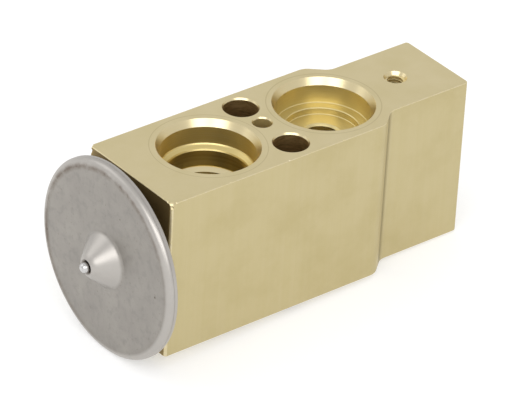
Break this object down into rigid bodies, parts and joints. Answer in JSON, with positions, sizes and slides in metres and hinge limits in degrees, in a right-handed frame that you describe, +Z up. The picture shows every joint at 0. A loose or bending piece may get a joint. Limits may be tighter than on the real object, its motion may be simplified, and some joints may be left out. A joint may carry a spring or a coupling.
{
  "type": "thermostatic expansion valve",
  "caption": "Block-type refrigerant expansion valve: stepped aluminium block with stacked port sockets, a round diaphragm power head on one end and an adjuster in the other.",
  "frame": {"origin": "midway between the two clamp screw holes, in the evaporator-side face of the block", "axes": "+X along the valve axis from the power head to the adjuster, +Z up to the line-side face with the stepped port sockets"},
  "size_m": [0.0884, 0.0412, 0.0412],
  "materials": {
    "chromated_block": "satin yellow chromate",
    "head_sheet": "satin pressed stainless",
    "bright_steel": "bright ground",
    "turned_aluminium": "turned",
    "turned_brass": "turned",
    "seal_rubber": "matt"
  },
  "bodies": {
    "block": {"valve_body": "chromated_block", "head_cover": "head_sheet", "charge_ball": "bright_steel", "diaphragm": "bright_steel", "head_housing": "head_sheet", "head_seal": "seal_rubber", "rod_seal": "seal_rubber", "seal_retainer": "bright_steel", "superheat_spring": "bright_steel"},
    "valve_train": {"stop_plate": "turned_aluminium", "sensing_rod": "turned_aluminium", "push_pin": "bright_steel", "valve_ball": "bright_steel", "ball_carrier": "turned_brass", "damping_clip": "bright_steel"},
    "adjuster_slider": {"adjuster_seal": "seal_rubber"},
    "adjuster": {"adjuster_screw": "turned_brass"}
  },
  "joints": [
    {"name": "valve_stroke", "type": "slide", "parent": "block", "child": "valve_train", "axis": [1, 0, 0], "range_m": [0, 0.0008], "stiffness_N_per_m": 9000, "springref_m": -0.0015, "deforming": ["superheat_spring", "diaphragm"]},
    {"name": "adjuster_advance", "type": "slide", "parent": "block", "child": "adjuster_slider", "axis": [1, 0, 0], "range_m": [-0.001, 0.001], "deforming": ["superheat_spring"]},
    {"name": "adjuster_turn", "type": "hinge", "parent": "adjuster_slider", "child": "adjuster", "pos_m": [0.033, 0, 0.0175], "axis": [1, 0, 0], "range_deg": [-360, 360], "deforming": ["superheat_spring"]}
  ],
  "couplings": [
    {"joint": "adjuster_turn", "follows": "adjuster_advance", "rad_per_m": 6283.2}
  ]
}
